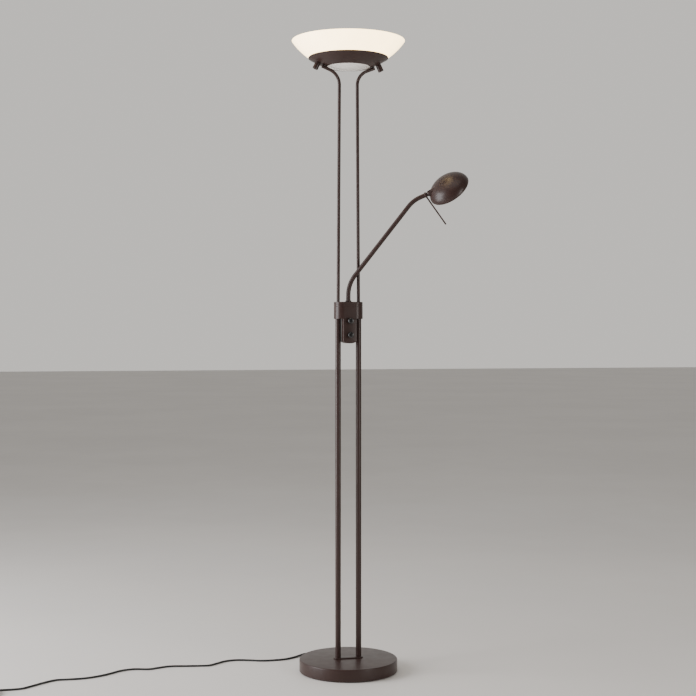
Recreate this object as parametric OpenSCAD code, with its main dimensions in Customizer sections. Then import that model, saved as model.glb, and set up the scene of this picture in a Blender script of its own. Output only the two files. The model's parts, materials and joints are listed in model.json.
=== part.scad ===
// Twin-pole uplighter floor lamp with a swivelling reading arm and two dimmer knobs.
// Frame: +Z up, origin on the floor at the centre of the round base.
// The two poles stand in the X-Z plane and the knobs face -Y.

/* [Base] */
// Diameter of the round base
base_d = 280; // [260:5:300]
// Height of the base cover's top above the floor
base_h = 36; // [34:1:42]
// Thickness of the base cover's sheet
cover_t = 1.5; // [1:0.25:2]
// Rounding of the base cover's top edge
cover_round = 3; // [2:0.5:5]
// Thickness of the felt pad
pad_t = 2; // [1.5:0.5:3]
// Length of the oblong foot plate
foot_l = 86; // [80:1:96]
// Width of the oblong foot plate
foot_w = 22; // [20:1:30]
// Thickness of the oblong foot plate
foot_t = 3; // [2:0.5:5]

/* [Poles] */
// Distance between the two poles' centres
pole_gap = 60; // [58:1:64]
// Outside diameter of the lower tubes
lower_d = 16; // [15:0.5:18]
// Outside diameter of the upper tubes
upper_d = 9.5; // [8:0.5:10]
// Wall of both tubes
tube_t = 1.2; // [1:0.1:1.5]
// Lean of the upper tubes towards each other, in degrees
upper_lean = 0.32; // [0:0.04:0.4]
// Bend radius where the upper tubes turn outwards
upper_bend = 45; // [40:1:50]
// Slope of the upper tubes' ends above the horizontal, in degrees
upper_slope = 22; // [18:1:26]

/* [Middle block] */
// Height of the block's underside
block_z = 1006; // [980:1:1020]
// Height of the block without its cap
block_h = 41.5; // [38:0.5:46]
// Length of the block across the poles
block_l = 83.5; // [80:0.5:90]
// Depth of the block
block_w = 50; // [46:1:54]
// Thickness of the block's cap
cap_t = 7; // [5:0.5:9]
// Wall of the block and of the dimmer housing
block_wall = 2.5; // [2:0.25:3]
// Width of the dimmer housing
tongue_w = 40; // [36:1:42]
// Drop of the dimmer housing below the block
tongue_drop = 70; // [66:1:80]
// Diameter of the two knobs
knob_d = 16.5; // [14:0.5:18]
// Length of the two knobs
knob_l = 13; // [10:0.5:15]
// Distance between the two knobs
knob_gap = 40; // [34:1:44]

/* [Reading arm] */
// Outside diameter of the arm's tube
arm_d = 12.7; // [12:0.1:13]
// Direction of the arm, in degrees from +X
arm_turn = -25; // [-150:5:-25]
// Radius of the arm's lower bend
arm_bend_low = 90; // [80:5:100]
// Angle of the arm's lower bend
arm_angle_low = 38.6; // [30:0.2:44]
// Length of the arm's long straight
arm_long = 247.5; // [200:0.5:280]
// Radius of the arm's upper bend
arm_bend_high = 85; // [70:5:100]
// Angle of the arm's upper bend
arm_angle_high = 29.1; // [20:0.1:36]

/* [Reading head] */
// Diameter of the shade's rim
shade_d = 122; // [110:2:130]
// Height of the shade from its rim to its crown
shade_h = 37; // [34:1:44]
// Sheet thickness of the shade
shade_t = 1.5; // [1:0.25:2]
// Roll of the head about the arm's end, in degrees
head_roll = 40.5; // [0:0.5:60]
// Tilt of the shade about its pin, in degrees
head_lean = -7.3; // [-20:0.1:-2]
// Length of the aiming rod
rod_l = 115; // [90:1:130]

/* [Bowl] */
// Height of the glass rim above the floor
rim_z = 1801; // [1790:1:1810]
// Radius of the glass rim
rim_r = 162; // [158:1:166]
// Outer radius of the glass's sphere
glass_r = 200; // [196:1:210]
// Thickness of the glass
glass_t = 4; // [3:0.5:5]
// Outer radius of the ring dish that carries the glass
ring_r = 113; // [110:1:118]
// Radius of the ring dish's hole
ring_hole_r = 62; // [58:1:66]

/* [Cord] */
// Diameter of the mains cord
cord_d = 5.5; // [5:0.25:6]

/* [Hidden] */
$fn = 48;
eps = 0.01;
lap = 0.4;
thinner = 0.02;

bronze = [0.20, 0.15, 0.13];
steel = [0.62, 0.62, 0.64];
iron = [0.25, 0.25, 0.26];
black = [0.04, 0.04, 0.04];
white = [0.92, 0.92, 0.90];

pole_x = pole_gap / 2;
base_r = base_d / 2;
foot_z = base_h + foot_t;
lower_r = lower_d / 2;
upper_r = upper_d / 2;
lower_bore = lower_r - tube_t;
weight_r = base_r - 6;
weight_z = pad_t + 1.5;
weight_top = 16;
nut_seat = 14;
nipple_r = 5;

cap_z = block_z + block_h;
block_top = cap_z + cap_t;
front_y = -block_w / 2;
tongue_z = block_z - tongue_drop;
knob_z = [block_z - 6 - knob_gap, block_z - 6];
knob_round = 3.5;
shaft_r = 3;
run_gap = 0.05;

upper_foot = block_z + 6;
upper_straight = 663;
lead_tail = 16;
upper_steps = [[upper_straight, upper_bend, 90 - upper_slope + upper_lean], [31, 0, 0]];

arm_r = arm_d / 2;
arm_bore = arm_r - 1;
arm_foot = block_z + 16;
arm_end = 13.5;
arm_steps = [[52.4, arm_bend_low, arm_angle_low], [arm_long, arm_bend_high, arm_angle_high], [arm_end, 0, 0]];
bush_foot = block_z + 28;
shade_reach = shade_d / 2 - 8;
pin_at = 15;
cheek_r = 8.5;
slot_half = 3.6;
rim_a = -22;
lens_r = shade_d / 2 - shade_t - 0.7;
slot_end = 6.2;
rod_r = 2.2;
rod_e = -12.2;
rod_h = -4.1;
rod_start = -2;

glass_c = rim_z + sqrt(glass_r * glass_r - rim_r * rim_r);
dish_in = glass_r + 0.4;
dish_out = dish_in + 1.5;
post_angle = asin(88 / dish_out);
post_l = 21;
post_r = 8;
sink_z = rim_z - 65;

coil_at = [-1005, -36, 0.8];
coil_r = 30;
plug_x = -1043.5;
plug_y = coil_at[1] - 34;
plug_z = 6.85;
gland_angle = 100;
gland_z = 9;
// Centre line of the cord from the gland's mouth to the coil
route = [[-28.7, 162.5, 9], [-33, 184, 5.5], [-44, 205, 2.75], [-66, 217, 2.75], [-92, 209, 2.75],
         [-118, 184, 2.75], [-152, 163, 2.75], [-192, 157, 2.75], [-228, 160, 2.75], [-262, 174, 2.75],
         [-298, 184, 2.75], [-330, 177, 2.75], [-356, 157, 2.75], [-382, 138, 2.75], [-412, 140, 2.75],
         [-452, 146, 2.75], [-494, 153, 2.75], [-526, 144, 2.75], [-556, 133, 2.75], [-596, 143, 2.75],
         [-634, 134, 2.75], [-668, 106, 2.75], [-704, 83, 2.75], [-744, 70, 2.75], [-786, 69, 2.75],
         [-818, 69, 2.75], [-850, 47, 2.75], [-882, 19, 2.75], [-910, -3, 2.75], [-946, -6, 2.75],
         [-980, -4, 3], [-1005, -3.25, 3.55]];
// Centre line of the cord from the coil to the plug
tail = [[-1038, -20, 11.5], [-1043.5, -36, 12], [-1043.5, -53, 10], [-1043.5, -70, 6.85]];

// A round bar or pipe along steps of [straight length, bend radius, bend angle]; it starts up +Z and
// bends to +X, and a bore of 0 leaves it solid. A straight laps over the slightly thinner bend next to it.
module bar(steps, r, bore = 0, i = 0) {
  last = i + 1 == len(steps);
  start = i > 0 ? lap : 0;
  length = steps[i][0];
  bend = steps[i][1];
  translate([0, 0, -start]) linear_extrude(length + start + (last ? 0 : lap)) annulus(r, bore);
  if (!last)
    translate([bend, 0, length]) {
      rotate([90, 0, 180]) rotate_extrude(angle = steps[i][2]) translate([bend, 0])
        annulus(r - thinner, bore > 0 ? bore + thinner : 0);
      rotate([0, steps[i][2], 0]) translate([-bend, 0, 0]) bar(steps, r, bore, i + 1);
    }
}

module annulus(r, bore) {
  difference() {
    circle(r);
    if (bore > 0) circle(bore);
  }
}

// Moves children to the end of the steps
module at_end(steps, i = 0) {
  translate([steps[i][1], 0, steps[i][0]]) rotate([0, steps[i][2], 0]) translate([-steps[i][1], 0, 0])
    if (i + 1 < len(steps)) at_end(steps, i + 1) children();
    else children();
}

module ring(h, r, bore) {
  difference() {
    cylinder(h = h, r = r);
    translate([0, 0, -1]) cylinder(h = h + 2, r = bore);
  }
}

module hex_nut(h, flats, bore) {
  difference() {
    cylinder(h = h, r = flats / 2 / cos(30), $fn = 6);
    translate([0, 0, -1]) cylinder(h = h + 2, r = bore);
  }
}

module stadium(length, width) {
  square([length - width, width], center = true);
  for (s = [-1, 1]) translate([s * (length - width) / 2, 0]) circle(width / 2);
}

module both_poles() {
  for (s = [-1, 1]) translate([s * pole_x, 0, 0]) children();
}

module countersunk(length, r) {
  cylinder(h = r, r1 = 2 * r, r2 = r);
  cylinder(h = length, r = r);
}

// ---- Base ----

module base_screw_places() {
  for (a = [30, 150, 270]) rotate([0, 0, a]) translate([100, 0, 0]) children();
}

module base_pad() {
  color([0.10, 0.10, 0.10]) cylinder(h = pad_t, r = base_r - 7);
}

module base_plate() {
  color(iron) difference() {
    translate([0, 0, pad_t]) cylinder(h = 1.5, r = base_r - 3);
    base_screw_places() translate([0, 0, pad_t - eps]) countersunk(4, 2);
  }
}

module base_screws() {
  color(steel) base_screw_places() translate([0, 0, pad_t]) countersunk(10, 2);
}

module base_weight() {
  color(iron) difference() {
    union() {
      translate([0, 0, weight_z]) cylinder(h = weight_top - weight_z, r = weight_r);
      both_poles() cylinder(h = base_h - cover_t, r = 14);
    }
    cylinder(h = weight_z, r = 60);
    both_poles() {
      translate([0, 0, weight_z - 1]) cylinder(h = nut_seat - weight_z + 1, r = 13);
      cylinder(h = base_h + 1, r = nipple_r);
    }
    translate([-48, 40, weight_z + 2.5]) cube([96, 46, 40]);
    rotate([0, 0, gland_angle]) translate([60, -8, weight_z + 0.5]) cube([90, 16, 40]);
    base_screw_places() cylinder(h = 12, r = 2);
  }
}

module base_cover_outline(grow) {
  r = base_r + grow;
  top = base_h + grow;
  square([r - cover_round, top]);
  square([r, top - cover_round]);
  translate([r - cover_round, top - cover_round]) circle(cover_round);
}

module base_cover() {
  color(bronze) difference() {
    rotate_extrude() intersection() {
      difference() {
        base_cover_outline(0);
        base_cover_outline(-cover_t);
      }
      translate([0, pad_t]) square([base_r + 1, base_h]);
    }
    both_poles() cylinder(h = base_h + 1, r = nipple_r);
    gland_frame() translate([0, 0, -6]) cylinder(h = 12, r = 5);
  }
}

module led_driver() {
  color(white) translate([-44, 43, weight_z + 3]) difference() {
    cube([88, 40, 20]);
    translate([-1, 12, 14]) cube([4, 16, 10]);
  }
}

module foot_plate() {
  color(bronze) difference() {
    translate([0, 0, base_h]) linear_extrude(foot_t) stadium(foot_l, foot_w);
    both_poles() cylinder(h = foot_z + 1, r = nipple_r);
  }
}

module pole_nipples() {
  color(steel) both_poles() translate([0, 0, 6]) ring(foot_z + 14, nipple_r, 3.5);
}

module nipple_nuts() {
  color(steel) both_poles() translate([0, 0, nut_seat - 5]) hex_nut(5, 17, nipple_r);
}

module tube_plugs() {
  color(steel) both_poles() translate([0, 0, foot_z]) ring(22, lower_bore, nipple_r);
}

// ---- Poles ----

module lower_tube(side) {
  color(bronze) translate([side * pole_x, 0, foot_z]) ring(cap_z - 1.5 - foot_z, lower_r, lower_bore);
}

module pole_leads() {
  color(black) {
    translate([-pole_x, 0, 8]) cylinder(h = block_z - 8, r = 2);
    upper_frame(1) bar([upper_steps[0], [lead_tail, 0, 0]], 1.5);
  }
}

module tube_reducers() {
  color(steel) both_poles() translate([0, 0, block_z + 2]) ring(36, lower_bore, upper_r + 0.25);
}

module upper_frame(side) {
  mirror([side < 0 ? 1 : 0, 0, 0]) translate([pole_x, 0, upper_foot]) rotate([0, -upper_lean, 0]) children();
}

module upper_tube(side) {
  color(bronze) difference() {
    upper_frame(side) bar(upper_steps, upper_r, upper_r - tube_t);
    post_frame(side) cylinder(h = post_l, r = post_r);
  }
}

// ---- Middle block ----

module block_shape(height, inset) {
  linear_extrude(height) stadium(block_l - 2 * inset, block_w - 2 * inset);
}

module block_body() {
  color(bronze) difference() {
    translate([0, 0, block_z]) block_shape(block_h, 0);
    translate([0, 0, block_z + 3]) block_shape(block_h, block_wall);
    both_poles() translate([0, 0, block_z - 1]) cylinder(h = 5, r = lower_r);
    translate([-15, front_y + block_wall, block_z - 1]) cube([30, block_w - 2 * block_wall, 5]);
    translate([0, 0, cap_z - 6]) difference() {
      block_shape(0.8, -1);
      translate([0, 0, -1]) block_shape(3, 0.7);
    }
    both_poles() grub_frame() cylinder(h = 20, r = 2.5);
  }
}

module block_cap() {
  color(bronze) difference() {
    union() {
      translate([0, 0, cap_z]) block_shape(cap_t - 1, 0);
      translate([0, 0, cap_z + cap_t - 1]) block_shape(1, 1);
    }
    translate([0, 0, cap_z - 1]) cylinder(h = cap_t + 2, r = 9);
    both_poles() translate([0, 0, cap_z - 1]) cylinder(h = cap_t + 2, r = upper_r + 0.4);
    cap_screw_places() rotate([180, 0, 0]) translate([0, 0, -eps]) countersunk(cap_t + 1, 1.5);
    translate([0, 0, cap_z - 1]) difference() {
      block_shape(1.6, -1);
      translate([0, 0, -1]) block_shape(4, 0.7);
    }
  }
}

module cap_screw_places() {
  for (s = [-1, 1]) translate([0, s * 17, block_top]) children();
}

module block_screws() {
  color(steel) {
    cap_screw_places() rotate([180, 0, 0]) countersunk(12, 1.5);
    housing_screw_places() translate([0, 0, -12]) {
      cylinder(h = 12, r = 1.5);
      translate([0, 0, 12]) cylinder(h = 1.2, r = 2.8);
    }
    both_poles() grub_frame() cylinder(h = 12.5, r = 2.5);
  }
}

module grub_frame() {
  translate([0, lower_r, block_z + 22]) rotate([-90, 0, 0]) children();
}

// Front view of the dimmer housing: straight sides and a shallow round bottom
module tongue_shape(inset) {
  round_r = 40;
  width = tongue_w - 2 * inset;
  intersection() {
    translate([-width / 2, tongue_z]) square([width, tongue_drop]);
    union() {
      translate([0, tongue_z + round_r]) circle(round_r - inset);
      translate([-width / 2, tongue_z + round_r]) square([width, tongue_drop]);
    }
  }
}

module knob_places() {
  for (z = knob_z) translate([0, front_y, z]) rotate([90, 0, 0]) children();
}

module dimmer_housing() {
  color(bronze) difference() {
    translate([0, -front_y, 0]) rotate([90, 0, 0]) linear_extrude(block_w) tongue_shape(0);
    translate([0, -front_y + 1, 0]) rotate([90, 0, 0]) linear_extrude(block_w + 1 - block_wall)
      tongue_shape(2);
    translate([-18, -20, block_z - 3]) cube([36, 40, 6]);
    knob_places() translate([0, 0, -5]) cylinder(h = 10, r = 3.5);
  }
}

module housing_back_cover() {
  color(bronze) difference() {
    translate([0, -front_y, 0]) rotate([90, 0, 0]) linear_extrude(2) tongue_shape(2);
    housing_screw_places() translate([0, 0, -4]) cylinder(h = 8, r = 1.5);
  }
}

module housing_screw_places() {
  for (z = [tongue_z + 14, block_z - 12]) translate([0, -front_y, z]) rotate([-90, 0, 0]) children();
}

module dimmer(z) {
  color(black) translate([0, front_y, z]) rotate([90, 0, 0]) difference() {
    union() {
      translate([-12, -14, -28]) cube([24, 28, 25.5]);
      translate([0, 0, -2.5]) cylinder(h = 6, r = 3.5);
    }
    translate([0, 0, -14]) cylinder(h = 20, r = shaft_r + run_gap);
  }
}

module dimmer_nuts() {
  color(steel) knob_places() hex_nut(2, 10, 3.5);
}

module knob(z) {
  color(black) translate([0, front_y, z]) rotate([90, 0, 0]) difference() {
    rotate_extrude() {
      translate([0, 0.8]) square([knob_d / 2 - knob_round, knob_l]);
      translate([0, 0.8]) square([knob_d / 2, knob_l - knob_round]);
      translate([knob_d / 2 - knob_round, knob_l + 0.8 - knob_round]) circle(knob_round);
    }
    cylinder(h = 4.2, r = 6.1);
    cylinder(h = 10, r = shaft_r);
    translate([knob_d / 2 - 1.6, -0.5, knob_l - 3]) cube([3, 1, 6]);
  }
}

module shaft(z) {
  color(steel) translate([0, front_y, z]) rotate([90, 0, 0]) translate([0, 0, -13.5])
    cylinder(h = 23.5, r = shaft_r);
}

// ---- Reading arm ----

module arm_frame() {
  rotate([0, 0, arm_turn]) translate([0, 0, arm_foot]) children();
}

module head_frame() {
  arm_frame() at_end(arm_steps) rotate([0, 0, head_roll]) children();
}

// Turns what is drawn about the tilt pin, as the shade and the rod are
module lean() {
  translate([0, 0, pin_at]) rotate([0, head_lean, 0]) children();
}

module arm_bush() {
  color(black) difference() {
    union() {
      translate([0, 0, bush_foot]) cylinder(h = block_top - bush_foot, r = 9);
      translate([0, 0, block_top]) cylinder(h = 1, r = 10.5);
    }
    translate([0, 0, bush_foot - 1]) cylinder(h = block_h, r = arm_r + run_gap);
  }
}

module arm_collar() {
  color(bronze) translate([0, 0, block_top + 1.3]) ring(3.2, 8.4, arm_r);
}

module arm_washer() {
  color(steel) translate([0, 0, bush_foot - 2.3]) ring(2, 11, arm_r);
}

module arm_locknut() {
  color(steel) translate([0, 0, bush_foot - 8.3]) hex_nut(6, 20, arm_r);
}

module reading_arm() {
  color(bronze) arm_frame() bar(arm_steps, arm_r, arm_bore);
}

module arm_lead() {
  color(black) arm_frame() bar([arm_steps[0], arm_steps[1], [0.5, 0, 0]], 1.5);
}

module arm_tip_bush() {
  color("goldenrod") head_frame() translate([0, 0, -11]) ring(11, arm_bore, 3.5);
}

module neck_swivel() {
  color(bronze) head_frame() difference() {
    union() {
      translate([0, 0, 0.3]) cylinder(h = 1.4, r1 = 6.6, r2 = 8);
      translate([0, 0, 1.7]) cylinder(h = 4.5, r = 8);
      translate([0, 0, -13.4]) cylinder(h = 14, r = 3.5 - run_gap);
      translate([-5.5, -slot_half + 0.4, 5]) cube([11, 2 * slot_half - 0.8, pin_at - 5]);
      translate([0, slot_half - 0.4, pin_at]) rotate([90, 0, 0])
        cylinder(h = 2 * slot_half - 0.8, r = 5.5);
    }
    translate([0, 20, pin_at]) rotate([90, 0, 0]) cylinder(h = 40, r = 2 + run_gap);
    translate([0, 0, -20]) cylinder(h = 22, r = 1.8);
    lean() rod_place() cylinder(h = 20, r = rod_r);
  }
}

module neck_locknut() {
  color(steel) head_frame() translate([0, 0, -13.4]) ring(2.1, 4.9, 3.5 - run_gap);
}

module neck_pin() {
  color(steel) head_frame() translate([0, 8.2, pin_at]) rotate([90, 0, 0]) cylinder(h = 16.4, r = 2);
}

// ---- Reading head: x along the neck away from the arm, z towards the crown ----

module bowl_frame() {
  head_frame() lean() translate([0, 0, shade_reach]) rotate([0, -90, 0]) children();
}

function ellipse_points(inset) = [for (t = [0 : 5 : 90])
  [(shade_d / 2 - inset) * cos(t), rim_a + (shade_h - inset) * sin(t)]];

module half_ellipsoid(inset) {
  rotate_extrude($fn = 96) polygon(concat([[0, rim_a - (inset > 0 ? 1 : 0)]],
    inset > 0 ? [[shade_d / 2 - inset, rim_a - 1]] : [], ellipse_points(inset)));
}

module sink_bosses(h, r) {
  for (a = [0, 120, 240]) rotate([0, 0, a]) translate([42, 0, 0]) cylinder(h = h, r = r);
}

module shade_solid() {
  half_ellipsoid(0);
  translate([-shade_reach, 0, 0]) {
    intersection() {
      rotate([0, -90, 0]) cylinder(h = 10, r = cheek_r);
      rotate([90, 0, 0]) translate([0, 0, -10]) cylinder(h = 20, r = cheek_r);
    }
    rotate([0, 90, 0]) cylinder(h = 21, r1 = cheek_r, r2 = cheek_r + 1);
  }
}

module vent_places() {
  for (k = [0 : 9]) rotate([0, 0, 36 * k]) translate([13, 0, 0]) children();
  for (k = [0 : 4]) rotate([0, 0, 72 * k]) translate([6.5, 0, 0]) children();
}

module reading_shade() {
  color(bronze) bowl_frame() difference() {
    union() {
      difference() {
        shade_solid();
        half_ellipsoid(shade_t);
      }
      intersection() {
        half_ellipsoid(0.5);
        union() {
          translate([0, 0, -4]) sink_bosses(40, 3.5);
          translate([-shade_reach, 0, 0]) rotate([0, 90, 0]) cylinder(h = 11, r = cheek_r - 0.1);
        }
      }
    }
    translate([-shade_reach, 0, 0]) {
      translate([-13, -slot_half, -6.3]) cube([13 + slot_end, 2 * slot_half, 26.3]);
      translate([0, 9, 0]) rotate([90, 0, 0]) cylinder(h = 18, r = 2);
      translate([2, 0, 0]) rotate([0, 90, 0]) cylinder(h = 12, r = 2.5);
    }
    vent_places() cylinder(h = 30, r = 1.5);
    translate([0, 0, -9]) sink_bosses(12, 1.25);
  }
}

module reading_heat_sink() {
  color(steel) bowl_frame() translate([0, 0, -7]) difference() {
    cylinder(h = 3, r = 46);
    translate([0, 0, -1]) sink_bosses(5, 1.25);
    translate([-60, -12, -1]) cube([19, 24, 5]);
  }
}

module sink_screws() {
  color(steel) bowl_frame() {
    translate([0, 0, -8.2]) sink_bosses(11, 1.25);
    translate([0, 0, -8.4]) sink_bosses(1.4, 2.4);
  }
}

module reading_led_board() {
  color(white) bowl_frame() {
    translate([0, 0, -8.6]) cylinder(h = 1.6, r = 38);
    for (k = [0 : 11]) rotate([0, 0, 30 * k]) translate([20, 0, -9.4]) cube([3.5, 3.5, 1.2]);
  }
}

module reading_reflector() {
  color(steel) bowl_frame() rotate_extrude()
    polygon([[39, -8.6], [40, -8.6], [lens_r - 1.6, rim_a + 4.2], [lens_r - 2.8, rim_a + 4.2]]);
}

module reading_lens() {
  color(white) bowl_frame() translate([0, 0, rim_a + 2]) cylinder(h = 2, r = lens_r);
}

module lens_ring() {
  color(steel) bowl_frame() translate([0, 0, rim_a + 0.4]) ring(1.6, lens_r + 0.4, lens_r - 1.8);
}

// Frame of the aiming rod, measured from the tilt pin: origin in the neck's disc, z along the rod
module rod_place() {
  translate([rod_start, rod_h, rod_e]) rotate([0, 90, 0]) children();
}

module aiming_rod() {
  color(bronze) head_frame() lean() rod_place() {
    cylinder(h = rod_l, r = rod_r);
    translate([0, 0, rod_l]) sphere(r = rod_r);
  }
}

// ---- Uplighter head ----

// Frame of one post: origin at its lower end, z towards the glass
module post_frame(side) {
  mirror([side < 0 ? 1 : 0, 0, 0]) translate([0, 0, glass_c]) rotate([0, -post_angle, 0])
    translate([0, 0, -dish_out - post_l]) children();
}

module head_posts() {
  color(bronze) for (s = [-1, 1]) post_frame(s) difference() {
    translate([0, 0, 0]) cylinder(h = post_l + 0.1, r = post_r);
    translate([0, 0, post_l - 14]) cylinder(h = 20, r = 2.5);
    translate([-3, 0, -1]) cube([6, 1.2, 2]);
    translate([0, 0, post_l + dish_out]) sphere(r = dish_out, $fn = 96);
  }
}

module post_screws() {
  color(steel) for (s = [-1, 1]) post_frame(s) {
    translate([0, 0, post_l - 10]) cylinder(h = 22, r = 2.5);
    translate([0, 0, post_l + 9.4]) hex_nut(4, 8, 2.4);
  }
}

module post_holes(r) {
  for (s = [-1, 1]) post_frame(s) translate([0, 0, post_l - 5]) cylinder(h = 20, r = r);
}

// A zone of a spherical shell about the glass's centre, between two radii from the axis
module zone(outer, inner, from_r, to_r) {
  translate([0, 0, glass_c]) rotate_extrude($fn = 128) intersection() {
    difference() {
      circle(outer);
      circle(inner);
    }
    translate([from_r, -outer - 1]) square([to_r - from_r, outer]);
  }
}

module ring_dish() {
  lip_top = glass_c - sqrt(glass_r * glass_r - ring_r * ring_r) - 0.4;
  color(bronze) difference() {
    union() {
      zone(dish_out, dish_in, ring_hole_r, ring_r);
      translate([0, 0, lip_top - 4]) ring(4, ring_r + 1.5, ring_r - 0.5);
    }
    post_holes(2.5);
  }
}

module glass_seat() {
  color(white) difference() {
    zone(dish_in, glass_r, ring_r - 14, ring_r - 4);
    post_holes(2.5);
  }
}

module glass_bowl() {
  color([0.98, 0.96, 0.90]) difference() {
    translate([0, 0, glass_c]) rotate_extrude($fn = 128) difference() {
      circle(glass_r);
      circle(glass_r - glass_t);
      translate([-2 * glass_r, rim_z - glass_c]) square(4 * glass_r);
      translate([-2 * glass_r, -2 * glass_r]) square([2 * glass_r, 4 * glass_r]);
    }
    post_holes(3.5);
  }
}

module bowl_bracket() {
  inside = glass_r - glass_t - 1.5;
  color(steel) difference() {
    intersection() {
      zone(inside, inside - 2, 0, 98);
      translate([-100, -12, glass_c - glass_r]) cube([200, 24, 60]);
    }
    post_holes(2.5);
  }
}

module bowl_led_module() {
  color(white) {
    translate([0, 0, sink_z - 5]) cylinder(h = 2, r = 30);
    translate([0, 0, sink_z - 12]) cylinder(h = 8, r = 12);
    translate([0, 0, sink_z - 3]) cylinder(h = 7, r = 62);
    for (k = [0 : 23]) rotate([0, 0, 15 * k]) translate([42, -2.5, sink_z + 3]) cube([5, 5, 1.8]);
  }
}

module bowl_diffuser() {
  color([0.98, 0.97, 0.93]) translate([0, 0, sink_z + 4]) difference() {
    union() {
      cylinder(h = 5, r = 60);
      translate([0, 0, 5]) cylinder(h = 2.5, r1 = 60, r2 = 54);
    }
    translate([0, 0, -1]) cylinder(h = 5.8, r = 58);
  }
}

// ---- Cord ----

module gland_frame() {
  rotate([0, 0, gland_angle]) translate([base_r, 0, gland_z]) rotate([0, 90, 0]) children();
}

module cord_gland() {
  color(black) difference() {
    gland_frame() {
      translate([0, 0, -5]) cylinder(h = 3, r = 5.4);
      translate([0, 0, -3]) cylinder(h = 4, r = 5);
      cylinder(h = 2.5, r = 6.4);
      translate([0, 0, 2]) cylinder(h = 23, r1 = 5, r2 = 3.4);
    }
    gland_frame() translate([0, 0, 21]) cylinder(h = 8, r = cord_d / 2);
  }
}

// Smooth points through a route, three to each pair
function blend4(a, b, c, d, t) = 0.5 * (2 * b + (c - a) * t + (2 * a - 5 * b + 4 * c - d) * t * t
  + (3 * b - a - 3 * c + d) * t * t * t);
function place(path, i) = path[max(0, min(len(path) - 1, i))];
function smooth_path(path, n) = concat([for (i = [0 : len(path) - 2]) for (k = [0 : n - 1])
  blend4(place(path, i - 1), path[i], path[i + 1], place(path, i + 2), k / n)], [path[len(path) - 1]]);
function unit(v) = v / norm(v);
function heading(path, i) = unit(place(path, i + 1) - place(path, i - 1));
function ring_points(path, i, r, sides) =
  let (h = heading(path, i), u = unit(cross([0, 0, 1], h)), w = cross(h, u))
  [for (k = [0 : sides - 1]) path[i] + r * (cos(360 * k / sides) * u + sin(360 * k / sides) * w)];

module tube_along(path, r, sides) {
  points = [for (i = [0 : len(path) - 1]) each ring_points(path, i, r, sides)];
  last = (len(path) - 1) * sides;
  faces = concat(
    [[for (k = [sides - 1 : -1 : 0]) k]],
    [for (i = [0 : len(path) - 2]) for (k = [0 : sides - 1])
      [i * sides + k, i * sides + (k + 1) % sides, (i + 1) * sides + (k + 1) % sides, (i + 1) * sides + k]],
    [[for (k = [0 : sides - 1]) last + k]]);
  polyhedron(points, faces, convexity = 10);
}

module cord() {
  color(black) for (path = [route, tail]) tube_along(smooth_path(path, 2), cord_d / 2, 8);
}

module cord_coil() {
  color(black) translate(coil_at) rotate_extrude() translate([coil_r, cord_d])
    stadium(2 * cord_d + eps, 2 * cord_d);
}

// Origin at the mouth of the plug's strain relief, z towards the pins
module plug_frame() {
  translate([plug_x, plug_y, plug_z]) rotate([90, 0, 0]) children();
}

module mains_plug() {
  half = 17.65;
  color(black) plug_frame() {
    cylinder(h = 24, r1 = 3.6, r2 = 5);
    translate([0, plug_z, 24]) rotate([90, 0, 0]) linear_extrude(2 * plug_z)
      polygon([[-7, 0], [7, 0], [half, 18], [half, 36], [-half, 36], [-half, 18]]);
  }
}

module plug_pins() {
  color(steel) plug_frame() for (s = [-1, 1]) translate([s * 9.3, 0, 56]) {
    cylinder(h = 21, r = 2);
    translate([0, 0, 21]) sphere(r = 2);
  }
}

module cord_tie() {
  color(white) translate([coil_at[0], coil_at[1] - coil_r, 0]) rotate([90, 0, 90]) difference() {
    translate([-6.5, 0, -4]) cube([13, 12.8, 8]);
    translate([-5.5, 0.8, -5]) cube([11, 11, 10]);
  }
}

base_pad();
base_plate();
base_screws();
base_weight();
base_cover();
led_driver();
foot_plate();
pole_nipples();
nipple_nuts();
tube_plugs();
lower_tube(-1);  // lower_tube_left
lower_tube(1);  // lower_tube_right
pole_leads();
tube_reducers();
upper_tube(-1);  // upper_tube_left
upper_tube(1);  // upper_tube_right
block_body();
block_cap();
block_screws();
dimmer_housing();
housing_back_cover();
dimmer(knob_z[1]);  // dimmer_upper
dimmer(knob_z[0]);  // dimmer_lower
dimmer_nuts();
knob(knob_z[1]);  // knob_upper
knob(knob_z[0]);  // knob_lower
shaft(knob_z[1]);  // shaft_upper
shaft(knob_z[0]);  // shaft_lower
arm_bush();
arm_collar();
arm_washer();
arm_locknut();
reading_arm();
arm_lead();
arm_tip_bush();
neck_swivel();
neck_locknut();
neck_pin();
reading_shade();
reading_heat_sink();
sink_screws();
reading_led_board();
reading_reflector();
reading_lens();
lens_ring();
aiming_rod();
head_posts();
post_screws();
ring_dish();
glass_seat();
glass_bowl();
bowl_bracket();
bowl_led_module();
bowl_diffuser();
cord_gland();
cord();
cord_coil();
cord_tie();
mains_plug();
plug_pins();
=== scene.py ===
"""Twin-pole uplighter floor lamp with a reading arm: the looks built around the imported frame.

Each sub-assembly is a class that holds its sizes and shapes its own pieces in metres, in the
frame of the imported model. Every piece gets a body to ride on, a material slot and a finish.
"""

import json
import logging
import math
from dataclasses import dataclass
from enum import Enum
from typing import Protocol, Sequence

import bmesh
import bpy
from mathutils import Matrix, Vector


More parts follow.
